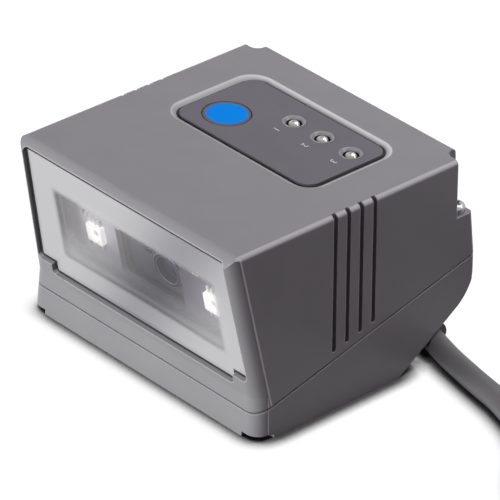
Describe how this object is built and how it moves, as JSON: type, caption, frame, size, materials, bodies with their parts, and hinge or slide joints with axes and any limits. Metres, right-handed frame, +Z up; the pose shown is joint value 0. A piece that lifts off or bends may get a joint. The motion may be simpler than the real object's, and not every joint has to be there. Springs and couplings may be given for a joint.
{
  "type": "fixed barcode reader",
  "caption": "Compact fixed-mount barcode reader: boxy moulded housing with a forward-leaning window, a label with trigger key and status lamps on top, and a captive data cord.",
  "frame": {"origin": "middle of the housing's bounding box, on the mounting face under the base", "axes": "+Z up, out of the label; -Y the way the window faces; +X to the reader's right as seen from the window's side"},
  "size_m": [0.1843, 0.1075, 0.0455],
  "materials": {
    "cover": "fine spark-eroded moulding texture",
    "dark_rubber": "matt",
    "dark_plastic": "matt",
    "window": "clear, polished",
    "hood": "satin",
    "label": "fine-grained film",
    "key": "satin",
    "lamp": "clear, polished",
    "board": "solder mask over glass-fibre board",
    "light_board": "white solder mask",
    "led": "moulded",
    "bracket": "die-cast",
    "lens": "coated, polished",
    "barrel": "black anodised",
    "header": "moulded",
    "steel": "zinc plated",
    "brass": "turned",
    "cord": "smooth jacket",
    "plug_shell": "nickel plated"
  },
  "bodies": {
    "housing": {"top_cover": "cover", "base_cover": "cover", "joint_seal": "dark_rubber", "window": "window", "window_seal": "dark_rubber", "light_hood": "hood", "label_overlay": "label", "key_switch": "dark_plastic", "trigger_lamp": "lamp", "good_read_lamp": "lamp", "power_lamp": "lamp", "indicator_board": "board", "illumination_board": "light_board", "illumination_led_left": "led", "illumination_led_right": "led", "camera_block": "dark_plastic", "camera_bracket": "bracket", "lens_barrel": "barrel", "front_lens": "lens", "aiming_lens": "lens", "sensor_board": "board", "main_board": "board", "beeper": "dark_plastic", "cord_header": "header", "cover_screws": "steel", "base_screws": "steel", "mounting_inserts": "brass", "strain_relief": "dark_rubber", "cord_lead": "cord", "cord_coil": "cord", "cord_tail": "cord", "cord_tie": "dark_plastic", "plug_grip": "dark_plastic", "plug_shell": "plug_shell", "plug_tongue": "header"},
    "key": {"trigger_key": "key"}
  },
  "joints": [
    {"name": "key_press", "type": "slide", "parent": "housing", "child": "key", "axis": [0, 0, -1], "range_m": [0, 0.0005], "stiffness_N_per_m": 2000}
  ]
}
